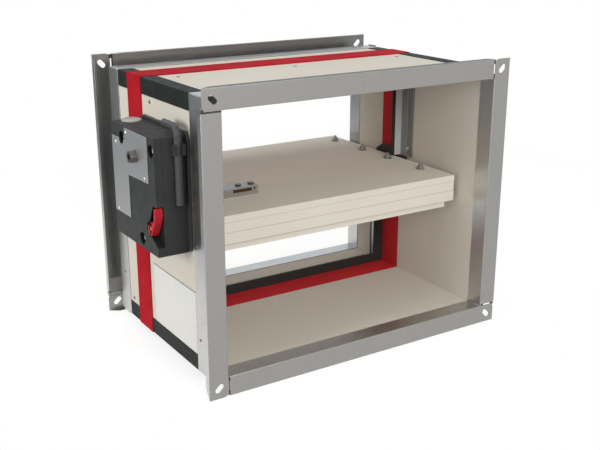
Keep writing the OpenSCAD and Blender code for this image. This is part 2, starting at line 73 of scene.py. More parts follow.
class Tree:
    """A material with short helpers for its nodes, on the object's own coordinates."""

    def __init__(self, name, rough=0.5, metal=0.0, spec=0.5, coat=0.0, coat_rough=0.1, sheen=0.0):
        self.mat = bpy.data.materials.new(name)
        self.mat.use_nodes = True
        self.nodes = self.mat.node_tree.nodes
        self.links = self.mat.node_tree.links
        self.nodes.clear()
        out = self.nodes.new("ShaderNodeOutputMaterial")
        self.shader = self.nodes.new("ShaderNodeBsdfPrincipled")
        self.links.new(self.shader.outputs[0], out.inputs[0])
        for socket, value in (("Roughness", rough), ("Metallic", metal), ("Specular IOR Level", spec),
                              ("Coat Weight", coat), ("Coat Roughness", coat_rough),
                              ("Sheen Weight", sheen)):
            self.shader.inputs[socket].default_value = value
        self.place = self.nodes.new("ShaderNodeTexCoord").outputs["Object"]

    def put(self, socket, source):
        self.links.new(source, self.shader.inputs[socket])

    def stretched(self, scale):
        node = self.nodes.new("ShaderNodeMapping")
        node.inputs["Scale"].default_value = scale
        self.links.new(self.place, node.inputs["Vector"])
        return node.outputs[0]

    def noise(self, scale, detail=3, lo=0.35, hi=0.65, to=(0, 1), stretch=(1, 1, 1), rough=0.55, twist=0):
        node = self.nodes.new("ShaderNodeTexNoise")
        node.inputs["Scale"].default_value = scale
        node.inputs["Detail"].default_value = detail
        node.inputs["Roughness"].default_value = rough
        node.inputs["Distortion"].default_value = twist
        self.links.new(self.stretched(stretch), node.inputs["Vector"])
        return self.spread(node.outputs["Fac"], lo, hi, to)

    def cells(self, scale, output="Distance", lo=0, hi=1):
        node = self.nodes.new("ShaderNodeTexVoronoi")
        node.inputs["Scale"].default_value = scale
        self.links.new(self.place, node.inputs["Vector"])
        value = node.outputs[output]
        if output == "Color":
            split = self.nodes.new("ShaderNodeSeparateColor")
            self.links.new(value, split.inputs[0])
            value = split.outputs[0]
        return self.spread(value, lo, hi)

    def spread(self, value, lo, hi, to=(0, 1)):
        node = self.nodes.new("ShaderNodeMapRange")
        node.inputs["From Min"].default_value = lo
        node.inputs["From Max"].default_value = hi
        node.inputs["To Min"].default_value = to[0]
        node.inputs["To Max"].default_value = to[1]
        self.links.new(value, node.inputs["Value"])
        return node.outputs[0]

    def math(self, kind, a, b):
        node = self.nodes.new("ShaderNodeMath")
        node.operation = kind
        for i, v in enumerate((a, b)):
            if isinstance(v, (int, float)):
                node.inputs[i].default_value = v
            else:
                self.links.new(v, node.inputs[i])
        return node.outputs[0]

    def mix(self, amount, a, b):
        node = self.nodes.new("ShaderNodeMix")
        node.data_type = "RGBA"
        for key, v in (("Factor_Float", amount), ("A_Color", a), ("B_Color", b)):
            socket = next(s for s in node.inputs if s.identifier == key)
            if isinstance(v, (int, float, tuple)):
                socket.default_value = v
            else:
                self.links.new(v, socket)
        return next(s for s in node.outputs if s.identifier == "Result_Color")

    def normal_part(self, axis):
        node = self.nodes.new("ShaderNodeSeparateXYZ")
        source = self.nodes.new("ShaderNodeTexCoord")
        self.links.new(source.outputs["Normal"], node.inputs[0])
        return node.outputs[axis]

    def place_part(self, axis):
        node = self.nodes.new("ShaderNodeSeparateXYZ")
        self.links.new(self.place, node.inputs[0])
        return node.outputs[axis]

    def away_from(self, axis, at):
        """Distance to the plane that crosses an axis at a place."""
        return self.math("ABSOLUTE", self.math("SUBTRACT", self.place_part(axis), at), 0)

    def between(self, axis, low, high, edge):
        """One between two places along an axis and zero outside them, with a soft edge inside."""
        half = (high - low) / 2
        return self.spread(self.away_from(axis, low + half), half, half - edge)

    def bump(self, height, strength=0.3, distance=0.0003):
        node = self.nodes.new("ShaderNodeBump")
        node.inputs["Strength"].default_value = strength
        node.inputs["Distance"].default_value = distance
        self.links.new(height, node.inputs["Height"])
        if self.shader.inputs["Normal"].is_linked:
            self.links.new(self.shader.inputs["Normal"].links[0].from_socket, node.inputs["Normal"])
        self.put("Normal", node.outputs[0])


# Soft edge of the painted shade in the housing's wells and lever pocket
WELL_SHADE_EDGE = 1.6 * MM


def board_finish(name, light, dark, along, joints=()):
    """Mineral board: faint long fibres, a mottled skin, fine pores, flecks and lines at glued joints."""
    t = Tree(name, rough=0.86, spec=0.25)
    cloud = t.noise(5, 4, 0.3, 0.7)
    fibre = t.noise(420, 4, 0.3, 0.7, stretch=along, twist=0.3)
    grain = t.noise(1500, 2, 0.3, 0.7)
    colour = t.mix(t.math("MULTIPLY", cloud, 0.5), light, dark)
    colour = t.mix(t.math("MULTIPLY", fibre, 0.22), colour, dark)
    fleck = t.cells(210, lo=0.10, hi=0.06)
    fleck = t.math("MULTIPLY", fleck, t.noise(35, 2, 0.55, 0.62))
    colour = t.mix(t.math("MULTIPLY", fleck, 0.35), colour, rgb(120, 104, 84))
    for z in joints:
        line = t.spread(t.away_from(2, z), JOINT_LINE, JOINT_LINE / 2, to=(0, 0.22))
        colour = t.mix(line, colour, rgb(128, 116, 98))
    t.put("Base Color", colour)
    t.put("Roughness", t.noise(600, 2, 0.3, 0.7, to=(0.78, 0.92)))
    t.bump(t.math("ADD", grain, t.math("MULTIPLY", fibre, 0.8)), 0.35, 0.00012)
    t.bump(t.noise(18, 3), 0.12, 0.0006)
    return t.mat


def steel_finish(name, light, dark, along, rough=(0.26, 0.4), spangle=130, painted_side_tone=None, painted_side_y=None,
                 painted_side_metal=1.0, shade_above_z=None, bead_highlights=()):
    """Zinc-coated sheet: crystals of 5 to 10 mm, drawn streaks along the sheet and small stains.

    Faces along Y take the painted side tone, which is painted shade where it is darker and painted light
    where it is lighter, only between the given places along Y where those are given.
    Tops above the lip height take a painted shade, and at each bead place along Y a painted highlight line
    stands for a pressed bead.
    """
    t = Tree(name, metal=1.0, rough=0.32)
    crystal = t.cells(spangle, output="Color")
    streak = t.noise(900, 3, 0.25, 0.75, stretch=along)
    stain = t.noise(9, 4, 0.45, 0.75)
    colour = t.mix(t.math("MULTIPLY", crystal, 0.22), light, dark)
    colour = t.mix(t.math("MULTIPLY", streak, 0.26), colour, dark)
    colour = t.mix(t.math("MULTIPLY", stain, 0.10), colour, dark)
    # Painted shade or painted light on the faces along Y, for how light falls on them
    if painted_side_tone is not None:
        side = t.spread(t.math("ABSOLUTE", t.normal_part(1), 0), 0.6, 0.9)
        if painted_side_y is not None:
            side = t.math("MULTIPLY", side, t.between(1, *painted_side_y, 0.5 * MM))
        colour = t.mix(side, colour, t.mix(t.math("MULTIPLY", streak, 0.4), painted_side_tone, dark))
        t.put("Metallic", t.spread(side, 0, 1, (1, painted_side_metal)))
    # Painted highlight lines where pressed beads would catch the light
    for y in bead_highlights:
        colour = t.mix(t.spread(t.away_from(1, y), 2.0 * MM, 0.8 * MM, to=(0, 0.6)), colour, painted_side_tone)
    # Painted shade on the tops of the lips
    if shade_above_z is not None:
        facing = t.spread(t.normal_part(2), 0.75, 0.95)
        painted_top_shade = t.math("MULTIPLY", facing, t.spread(t.place_part(2), shade_above_z - MM, shade_above_z))
        colour = t.mix(painted_top_shade, colour, (0.10, 0.10, 0.10, 1))
    t.put("Base Color", colour)
    mixed = t.math("ADD", t.math("MULTIPLY", crystal, 0.4), t.math("MULTIPLY", streak, 0.6))
    t.put("Roughness", t.spread(mixed, 0, 1, rough))
    t.bump(streak, 0.05, 0.00005)
    t.bump(t.noise(9, 2, 0.3, 0.7), 0.03, 0.0008)
    return t.mat


def plastic_finish(name, colour, other, rough=(0.5, 0.62), grain=1400, strength=0.2, spec=0.18, box=None):
    """Moulded plastic with a fine eroded grain, slight cloudiness and rubbed spots, and a painted shade
    inside the box.
    """
    t = Tree(name, rough=rough[0], spec=spec)
    tone = t.mix(t.noise(24, 3, 0.3, 0.7), colour, other)
    tone = t.mix(t.noise(700, 2, 0.62, 0.75, to=(0, 0.10)), tone, rgb(150, 152, 152))
    # Painted shade on every surface inside the box: the lever pocket and the screw wells
    if box:
        inside = 1
        for axis in range(3):
            low, high = box[0][axis] + WELL_SHADE_EDGE / 2, box[1][axis] - WELL_SHADE_EDGE / 2
            inside = t.math("MULTIPLY", inside, t.between(axis, low, high, WELL_SHADE_EDGE / 2))
        tone = t.mix(t.math("MULTIPLY", inside, 0.8), tone, rgb(12, 12, 12))
    t.put("Base Color", tone)
    t.put("Roughness", t.noise(60, 3, 0.3, 0.7, to=rough))
    t.bump(t.noise(grain, 3, 0.25, 0.75), strength, 0.00008)
    return t.mat


def strip_finish(name, colour, deep):
    """Laminated intumescent strip: glossy coloured film over a slightly uneven core."""
    t = Tree(name, rough=0.6, spec=0.03)
    tone = t.mix(t.noise(11, 4, 0.3, 0.7), colour, deep)
    weave = t.cells(900, lo=0.0, hi=0.6)
    t.put("Base Color", t.mix(t.math("MULTIPLY", weave, 0.10), tone, deep))
    t.put("Roughness", t.noise(40, 3, 0.3, 0.7, to=(0.55, 0.7)))
    t.bump(weave, 0.12, 0.00006)
    t.bump(t.noise(30, 2), 0.15, 0.0004)
    return t.mat


def rubber_finish(name):
    t = Tree(name, rough=0.75, spec=0.3, sheen=0.15)
    t.put("Base Color", t.mix(t.noise(300, 3, 0.3, 0.7), rgb(31, 32, 31), rgb(43, 44, 42)))
    t.bump(t.cells(1600, lo=0, hi=0.5), 0.4, 0.0001)
    return t.mat


def turned_finish(name, light, dark, rough=(0.25, 0.4), metal=1.0):
    """Small machined or plated parts: fine rings and a little tarnish."""
    t = Tree(name, metal=metal, rough=0.3)
    t.put("Base Color", t.mix(t.noise(260, 4, 0.3, 0.7), light, dark))
    t.put("Roughness", t.noise(180, 3, 0.3, 0.7, to=rough))
    t.bump(t.noise(2600, 2, 0.3, 0.7), 0.12, 0.00004)
    return t.mat


def label_finish():
    """Plain glossy sticker: white film with a thin painted shadow line along its top edge."""
    t = Tree("label", rough=0.22, spec=0.5, coat=0.35, coat_rough=0.08)
    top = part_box("product_label")[1].z
    # Painted shadow of the label's top edge, a thin dark line
    line = t.spread(t.place_part(2), top - 1.8 * MM, top - 1.4 * MM)
    paper = t.mix(t.noise(5, 2, 0.3, 0.7), rgb(222, 222, 217), rgb(217, 218, 213))
    t.put("Base Color", t.mix(line, paper, rgb(96, 96, 94)))
    t.put("Roughness", t.noise(9, 2, 0.3, 0.7, to=(0.25, 0.28)))
    return t.mat


# Lip tops above this height get a painted shade
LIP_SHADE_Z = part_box("front_flange_top")[1].z - 0.5 * MM
STEEL, STEEL_DARK = (0.605, 0.602, 0.59, 1), (0.49, 0.488, 0.48, 1)
# Painted shade: the front flanges' web faces and the rear flanges' faces along Y take these darker tones
WEB_PAINTED_SHADE, WEB_Y = (0.17, 0.17, 0.165, 1), (30 * MM, 35 * MM)
REAR_PAINTED_SHADE, REAR_SIDE_PAINTED_SHADE = (0.27, 0.27, 0.265, 1), (0.31, 0.31, 0.305, 1)

JOINT_LINE = 0.9 * MM
# Box inside which the housing's surfaces get a painted shade
HOUSING_SHADE_BOX = (Vector((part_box("box_plate")[0].x + MM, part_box("release_lever")[0].y - 1.5 * MM,
                       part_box("box_housing")[0].z)),
               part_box("box_housing")[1])
BLADE_JOINTS = (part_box("blade_board_top")[0].z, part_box("blade_board_lower")[1].z,
                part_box("blade_board_lower")[0].z)

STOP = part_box("stop_upper_right")
STOP_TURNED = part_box("stop_lower_right")
# Places along Y of the painted highlight lines for the pressed beads, and the span of stop faces that take
# painted light
STOP_BEAD_HIGHLIGHTS = ((STOP[0].y + STOP[1].y) / 2, (STOP_TURNED[0].y + STOP_TURNED[1].y) / 2)
STOP_PAINTED_LIGHT_Y = (STOP[1].y - 3 * MM, STOP_TURNED[0].y + 3 * MM)

M = {
    "board": board_finish("board", (0.73, 0.69, 0.615, 1), (0.64, 0.60, 0.515, 1), (0.05, 1, 1)),
    "blade_board": board_finish("blade_board", (0.85, 0.81, 0.725, 1), (0.75, 0.70, 0.605, 1), (0.05, 1, 1),
                                BLADE_JOINTS),
    # Front flanges: the web faces along Y and the lip tops take a painted shade
    "steel_flat": steel_finish("galvanised_flat", STEEL, STEEL_DARK, (0.02, 1, 1),
                               painted_side_tone=WEB_PAINTED_SHADE, painted_side_y=WEB_Y, shade_above_z=LIP_SHADE_Z),
    "steel_upright": steel_finish("galvanised_upright", STEEL, STEEL_DARK, (1, 1, 0.02),
                                  painted_side_tone=WEB_PAINTED_SHADE, painted_side_y=WEB_Y),
    # Rear flanges: the faces along Y take a painted shade, and the lip tops of the level pieces too
    "steel_flat_rear": steel_finish("galvanised_flat_rear_painted_shade", STEEL, STEEL_DARK, (0.02, 1, 1),
                                    painted_side_tone=REAR_PAINTED_SHADE, shade_above_z=LIP_SHADE_Z),
    "steel_upright_rear": steel_finish("galvanised_upright_rear_painted_shade", STEEL, STEEL_DARK, (1, 1, 0.02),
                                       painted_side_tone=REAR_SIDE_PAINTED_SHADE),
    # Tab behind the rear joint: its faces along Y take a painted shade with little metal
    "tab_steel_painted_shade": steel_finish("tab_steel_painted_shade", STEEL, STEEL_DARK, (0.02, 1, 1), painted_side_tone=(0.33, 0.33, 0.32, 1),
                              painted_side_metal=0.2),
    "shaded_steel": steel_finish("shaded_steel", (0.13, 0.13, 0.13, 1), (0.09, 0.09, 0.09, 1), (1, 1, 0.05)),
    # Bracket: its faces along Y take painted light
    "bracket_steel": steel_finish("bracket_steel", (0.31, 0.31, 0.30, 1), (0.25, 0.25, 0.24, 1), (1, 1, 0.03),
                                  spangle=220, painted_side_tone=(0.56, 0.56, 0.54, 1)),
    # Stop angles: their faces along Y take painted light with little metal, and painted highlight lines at
    # the beads
    "stop_angle_steel": steel_finish("stop_angle_steel", (0.36, 0.365, 0.365, 1), (0.27, 0.27, 0.27, 1),
                                     (1, 1, 0.03), spangle=220, painted_side_tone=(0.62, 0.62, 0.60, 1), painted_side_y=STOP_PAINTED_LIGHT_Y,
                                     painted_side_metal=0.15, bead_highlights=STOP_BEAD_HIGHLIGHTS),
    "black_profile": plastic_finish("black_profile", rgb(43, 45, 44), rgb(35, 37, 37), (0.5, 0.62), 1800,
                                    0.12, 0.1),
    "red_strip": strip_finish("red_strip", (0.50, 0.016, 0.027, 1), (0.38, 0.009, 0.018, 1)),
    "red_inner": strip_finish("red_inner", (0.66, 0.040, 0.048, 1), (0.54, 0.030, 0.037, 1)),
    "black_seal": rubber_finish("black_seal"),
    "black_plastic": plastic_finish("black_plastic", rgb(36, 36, 37), rgb(28, 28, 29)),
    "base_plastic": plastic_finish("base_plastic", rgb(58, 58, 59), rgb(50, 50, 51), (0.3, 0.4), spec=0.4),
    # Housing: painted shade inside its outer box
    "grey_plastic": plastic_finish("grey_plastic", rgb(60, 61, 62), rgb(52, 53, 54), box=HOUSING_SHADE_BOX),
    "light_plastic": plastic_finish("light_plastic", rgb(177, 178, 171), rgb(165, 166, 159), (0.45, 0.6)),
    "red_plastic": plastic_finish("red_plastic", (0.50, 0.018, 0.032, 1), (0.40, 0.010, 0.022, 1),
                                  (0.35, 0.45), spec=0.25),
    # Pale block in the lever's ring: a painted highlight
    "pale_painted_highlight": plastic_finish("pale_painted_highlight", rgb(226, 214, 168), rgb(210, 190, 130), (0.4, 0.5)),
    "label": label_finish(),
    "bare_aluminium": steel_finish("bare_aluminium", (0.57, 0.57, 0.565, 1), (0.49, 0.49, 0.485, 1),
                                   (1, 0.03, 1), (0.38, 0.5), 900),
    "worn_zinc": turned_finish("worn_zinc", (0.26, 0.25, 0.235, 1), (0.16, 0.15, 0.14, 1), (0.35, 0.5), 0.8),
    "dark_zinc": turned_finish("dark_zinc", (0.40, 0.39, 0.37, 1), (0.27, 0.26, 0.245, 1), (0.35, 0.5), 0.6),
    # Screws in the housing's wells: near-white with little metal, a painted glint
    "well_zinc_painted_glint": turned_finish("well_zinc_painted_glint", (0.9, 0.9, 0.9, 1), (0.75, 0.75, 0.75, 1), (0.4, 0.5), 0.3),
    "bright_zinc": turned_finish("bright_zinc", (0.80, 0.80, 0.80, 1), (0.66, 0.66, 0.66, 1)),
    "spindle_steel": turned_finish("spindle_steel", (0.17, 0.16, 0.152, 1), (0.12, 0.112, 0.106, 1),
                                   (0.35, 0.5), 0.7),
    "key_steel": turned_finish("key_steel", (0.085, 0.086, 0.092, 1), (0.06, 0.06, 0.064, 1),
                               (0.4, 0.5), 0.25),
    "bronze": turned_finish("bronze", (0.20, 0.105, 0.055, 1), (0.13, 0.07, 0.04, 1), (0.4, 0.55)),
    "pin_steel": turned_finish("pin_steel", (0.6, 0.6, 0.6, 1), (0.5, 0.5, 0.5, 1)),
}

FINISH = {
    "board": "board", "corner_profile": "black_profile", "outer_strip": "red_strip",
    "inner_strip": "red_inner",
    "front_flange_top": "steel_flat", "front_flange_bottom": "steel_flat",
    "front_flange_left": "steel_upright", "front_flange_right": "steel_upright",
    "rear_flange_top": "steel_flat_rear", "rear_flange_bottom": "steel_flat_rear",
    "rear_flange_left": "steel_upright_rear", "rear_flange_right": "steel_upright_rear",
    "flange_screws": "worn_zinc", "board_screws": "worn_zinc", "stop_screws": "bright_zinc",
    "stop_upper": "stop_angle_steel", "stop_lower": "stop_angle_steel", "gasket": "black_seal",
    "bearing": "base_plastic", "axle_cover": "black_plastic", "product_label": "label",
    "box_base": "base_plastic", "box_housing": "grey_plastic", "box_plate": "bare_aluminium",
    "plate_rivets": "bright_zinc", "box_screws": "bright_zinc", "entry_cap": "light_plastic",
    "hex_key": "key_steel",
    "blade_board_": "blade_board", "blade_studs": "dark_zinc", "blade_washers": "dark_zinc",
    "blade_nuts": "dark_zinc", "blade_bracket": "bracket_steel", "bracket_bolts": "worn_zinc",
    "bracket_block": "bronze", "axle_pin": "pin_steel", "spindle": "spindle_steel",
    "release_lever": "red_plastic",
}


def finish_of(node):
    best = max((k for k in FINISH if node.startswith(k)), key=len)
    return M[FINISH[best]]


for name, obj in NODES.items():
    obj.data.materials.clear()
    obj.data.materials.append(finish_of(name))


# Rounded edges on the CAD solids

EDGE_MM = {"board_": 0.5, "blade_board_": 0.7, "corner_profile": 0.4, "outer_strip": 0.5, "inner_strip": 0.3,
           "stop_upper": 0.4, "stop_lower": 0.4, "gasket": 0.3,
           "bearing": 0.6, "box_base": 1.2, "box_housing": 1.2, "box_plate": 0.3,
           "blade_bracket": 0.5, "bracket_block": 0.4, "spindle": 0.4, "axle_cover": 0.8}


def round_edges(obj, width, segments, angle):
    """Rounds the edges sharper than an angle, by a width in millimetres, and keeps the flats flat."""
    edge = obj.modifiers.new("edge", "BEVEL")
    edge.width = width * MM
    edge.segments = segments
    edge.limit_method = "ANGLE"
    edge.angle_limit = math.radians(angle)
    flat = obj.modifiers.new("flat", "WEIGHTED_NORMAL")
    flat.keep_sharp = True


for name, obj in NODES.items():
    found = [k for k in EDGE_MM if name.startswith(k)]
    if found:
        weld = obj.modifiers.new("weld", "WELD")
        weld.merge_threshold = 1e-6
        plane = obj.modifiers.new("plane", "DECIMATE")
        plane.decimate_type = "DISSOLVE"
        plane.angle_limit = math.radians(1)
        round_edges(obj, EDGE_MM[max(found, key=len)], 2, 40)


# Piece builders

def axes(origin, z, x=(1, 0, 0)):
    """Matrix that puts a local shape at origin, in millimetres, with its Z along z."""
    z = Vector(z).normalized()
    x = Vector(x)
    if abs(x.dot(z)) > 0.9:
        x = Vector((0, 1, 0))
    y = z.cross(x).normalized()
    x = y.cross(z).normalized()
    turn = Matrix((x, y, z)).transposed().to_4x4()
    return Matrix.Translation(Vector(origin)) @ turn


def lathe(bm, profile, place, n=28):
    """Turned surface from (radius, height) points, in millimetres. A radius of 0 closes the end."""
    rings = []
    for r, h in profile:
        if r <= 0:
            rings.append([bm.verts.new(place @ Vector((0, 0, h)))])
        else:
            rings.append([bm.verts.new(place @ Vector((r * math.cos(a), r * math.sin(a), h)))
                          for a in (2 * math.pi * i / n for i in range(n))])
    for low, high in zip(rings, rings[1:]):
        for i in range(n):
            j = (i + 1) % n
            quad = [low[i % len(low)], low[j % len(low)], high[j % len(high)], high[i % len(high)]]
            quad = list(dict.fromkeys(quad))
            if len(quad) > 2:
                bm.faces.new(quad)


def hex_solid(bm, flats, h, place, chamfer=0.7, hole=0):
    """Hexagon head or nut with chamfered ends, with an optional bore."""
    r = flats / 2 / math.cos(math.pi / 6)
    rows = [(r - chamfer * 1.2, 0), (r, chamfer * 0.6), (r, h - chamfer * 0.6), (r - chamfer * 1.2, h)]
    rings = [[bm.verts.new(place @ Vector((q * math.cos(a), q * math.sin(a), z)))
              for a in (math.pi / 3 * i for i in range(6))] for q, z in rows]
    for low, high in zip(rings, rings[1:]):
        for i in range(6):
            j = (i + 1) % 6
            bm.faces.new([low[i], low[j], high[j], high[i]])
    if hole <= 0:
        bm.faces.new(rings[0])
        bm.faces.new(rings[-1])
        return
    bore = [[bm.verts.new(place @ Vector((hole * math.cos(a), hole * math.sin(a), z)))
             for a in (math.pi / 9 * i for i in range(18))] for z in (0, h)]
    for i in range(18):
        j = (i + 1) % 18
        bm.faces.new([bore[0][i], bore[0][j], bore[1][j], bore[1][i]])
    for ring, inner in ((rings[0], bore[0]), (rings[-1], bore[1])):
        for i in range(6):
            j = (i + 1) % 6
            part = [inner[(3 * i + k) % 18] for k in range(4)]
            bm.faces.new([ring[i], ring[j]] + part[::-1])


def screw_head(bm, place, r, h, n=24):
    """Domed screw head with a cross recess cut into its flat crown."""
    flat, pit, depth = r * 0.52, r * 0.46, h * 0.7
    arm = pit * 0.34
    lathe(bm, [(0, 0), (r, 0), (r * 0.99, h * 0.35), (r * 0.86, h * 0.72), (r * 0.62, h * 0.95), (flat, h)],
          place, n)
    cross = []
    for k in range(4):
        c, s = math.cos(math.pi / 2 * k), math.sin(math.pi / 2 * k)
        for x, y in ((pit, -arm), (pit, arm), (arm, arm)):
            cross.append((x * c - y * s, x * s + y * c))
    outer = [bm.verts.new(place @ Vector((flat * math.cos(a), flat * math.sin(a), h)))
             for a in (2 * math.pi * i / n for i in range(n))]
    inner = [bm.verts.new(place @ Vector((x, y, h))) for x, y in cross]
    low = [bm.verts.new(place @ Vector((x * 0.4, y * 0.4, h - depth))) for x, y in cross]
    m = len(cross)
    per = n // m
    for i in range(m):
        j = (i + 1) % m
        bm.faces.new([inner[i], inner[j], low[j], low[i]])
        rim = [outer[(i * per + k) % n] for k in range(per + 1)]
        bm.faces.new(rim + [inner[j], inner[i]])
    bm.faces.new(low)


def thread(bm, r, z0, z1, place, pitch=1.0, depth=0.32, n=20):
    """Threaded rod: one helical ridge, drawn as rings that rise by a pitch in each turn."""
    steps = int((z1 - z0 - pitch) / (pitch / 4))
    radii = (r, r - depth * 0.55, r - depth, r - depth * 0.55)
    rings = [[bm.verts.new(place @ Vector((r * 0.8 * math.cos(a), r * 0.8 * math.sin(a), z0)))
              for a in (2 * math.pi * i / n for i in range(n))]]
    for s in range(steps):
        ring = []
        for i in range(n):
            a = 2 * math.pi * i / n
            turn = i / n * 4
            low = int(turn)
            part = turn - low
            q = radii[(s - low) % 4] * (1 - part) + radii[(s - low - 1) % 4] * part
            z = z0 + (s + 1) * pitch / 4
            ring.append(bm.verts.new(place @ Vector((q * math.cos(a), q * math.sin(a), z))))
        rings.append(ring)
    rings.append([bm.verts.new(place @ Vector((r * 0.72 * math.cos(a), r * 0.72 * math.sin(a), z1)))
                  for a in (2 * math.pi * i / n for i in range(n))])
    for low, high in zip(rings, rings[1:]):
        for i in range(n):
            j = (i + 1) % n
            bm.faces.new([low[i], low[j], high[j], high[i]])
    bm.faces.new(rings[0])
    bm.faces.new(rings[-1])


def piece(name, bm, finish, body, replaces=(), smooth=35):
    """Turns the bmesh, drawn in millimetres, into a piece that rides on a body."""
    bmesh.ops.recalc_face_normals(bm, faces=bm.faces)
    bmesh.ops.scale(bm, vec=(MM, MM, MM), verts=bm.verts)
    for face in bm.faces:
        face.smooth = True
    limit = math.radians(smooth)
    for edge in bm.edges:
        if len(edge.link_faces) == 2 and edge.calc_face_angle() > limit:
            edge.smooth = False
    mesh = bpy.data.meshes.new(name)
    bm.to_mesh(mesh)
    bm.free()
    obj = bpy.data.objects.new(name, mesh)
    bpy.context.scene.collection.objects.link(obj)
    mesh.materials.append(M[finish] if isinstance(finish, str) else finish)
    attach(obj, body)
    if replaces:
        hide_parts(*replaces)
    return obj


def islands(node):
    """Boxes in millimetres of the separate solids in a CAD node, by position."""
    obj = NODES[node]
    co = [v.co for v in obj.data.vertices]
    key = {}
    group = list(range(len(co)))

    def root(i):
        while group[i] != i:
            group[i] = group[group[i]]
            i = group[i]
        return i

    for i, p in enumerate(co):
        k = tuple(round(c * 20000) for c in p)
        if k in key:
            group[root(i)] = root(key[k])
        else:
            key[k] = i
    for e in obj.data.edges:
        group[root(e.vertices[0])] = root(e.vertices[1])
    found = {}
    for i, p in enumerate(co):
        found.setdefault(root(i), []).append(p)
    boxes = []
    for pts in found.values():
        lo = Vector([min(p[k] for p in pts) / MM for k in range(3)])
        hi = Vector([max(p[k] for p in pts) / MM for k in range(3)])
        boxes.append((lo, hi))
    return sorted(boxes, key=lambda b: tuple(round(v, 1) for v in b[0]))


def thin_axis(lo, hi):
    size = hi - lo
    return min(range(3), key=lambda k: size[k])


# Folded flanges, drawn in millimetres like the CAD pieces that they replace

SHEET_T = 1.0
FOLD_R = 1.7
LEG_FOLD_R = 0.4
FACE_W = 32
LIP_D = 11
NECK = 33
LEG_END = 70
JOINT_GAP = 2.5
BOARD = 14                   # from a flange's inner edge to the outside of the boards
CUT_END, CUT_SIDE = 3, 7
LIP_START, LIP_SLANT, LIP_END_SLANT = 2, 14, 8.5
SLOT_IN, SLOT_LEN, SLOT_W = 16.5, 16, 8.5
SIDE_TAB_Y, SIDE_TAB_H = (39, 62), 3.5
SEAM = 0.3
FLAP_D = 5.5
JOINT_TAB = 7
TALL_TAB, TALL_TAB_IN = 27, 5.5
SHORT = 2
HALF_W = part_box("board_right")[0].x / MM - SHEET_T
HALF_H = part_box("board_top")[0].z / MM - SHEET_T
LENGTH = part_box("rear_flange_top")[1].y / MM


class Sheet:
    """Bent sheet metal. Each point has its place on one side and the step to the other side."""

    def __init__(self, place):
        self.place = place
        self.step = {}
        self.faces = []

    def point(self, x, y, z, step_y, step_z):
        key = (round(x, 4), round(y, 4), round(z, 4))
        self.step.setdefault(key, (step_y, step_z))
        return key

    def face(self, *keys):
        self.faces.append(keys)

    def fold(self, xs, centre, r, step, start, steps=5):
        """Quarter bend about a line along X, from the start angle on. Returns its first and last row."""
        rows = []
        for i in range(steps + 1):
            a = math.radians(start + 90 * i / steps)
            c, s = math.cos(a), math.sin(a)
            rows.append([self.point(x, centre[0] + r * c, centre[1] + r * s, step * c, step * s) for x in xs])
        for one, two in zip(rows, rows[1:]):
            for i in range(len(xs) - 1):
                self.face(one[i], one[i + 1], two[i + 1], two[i])
        return rows[0], rows[-1]

    def build(self, bm):
        one = {k: bm.verts.new(self.place @ Vector(k)) for k in self.step}
        two = {k: bm.verts.new(self.place @ Vector((k[0], k[1] + d[0], k[2] + d[1])))
               for k, d in self.step.items()}
        used = {}
        for keys in self.faces:
            bm.faces.new([one[k] for k in keys])
            bm.faces.new([two[k] for k in reversed(keys)])
            for i, k in enumerate(keys):
                pair = frozenset((keys[i - 1], k))
                used[pair] = used.get(pair, 0) + 1
        for pair, count in used.items():
            if count == 1:
                a, b = pair
                bm.faces.new([one[a], one[b], two[b], two[a]])


def box_solid(bm, low, high, place):
    corners = [bm.verts.new(place @ Vector((x, y, z)))
               for x in (low[0], high[0]) for y in (low[1], high[1]) for z in (low[2], high[2])]
    for quad in ((0, 1, 3, 2), (4, 6, 7, 5), (0, 4, 5, 1), (2, 3, 7, 6), (0, 2, 6, 4), (1, 5, 7, 3)):
        bm.faces.new([corners[i] for i in quad])


def slot_edge(s, cx, cz, start, end_at, n=12):
    """Quarter of the slot's edge, on the face, round one of its two ends."""
    half, r, k = (SLOT_LEN - SLOT_W) / 2, SLOT_W / 2, math.sqrt(0.5)
    points = []
    for i in range(n + 1):
        a = start + math.pi / 2 * i / n
        along, across = end_at * half + r * math.cos(a), r * math.sin(a)
        points.append(s.point(cx + k * (along + across), 0, cz + k * (across - along), SHEET_T, 0))
    return points


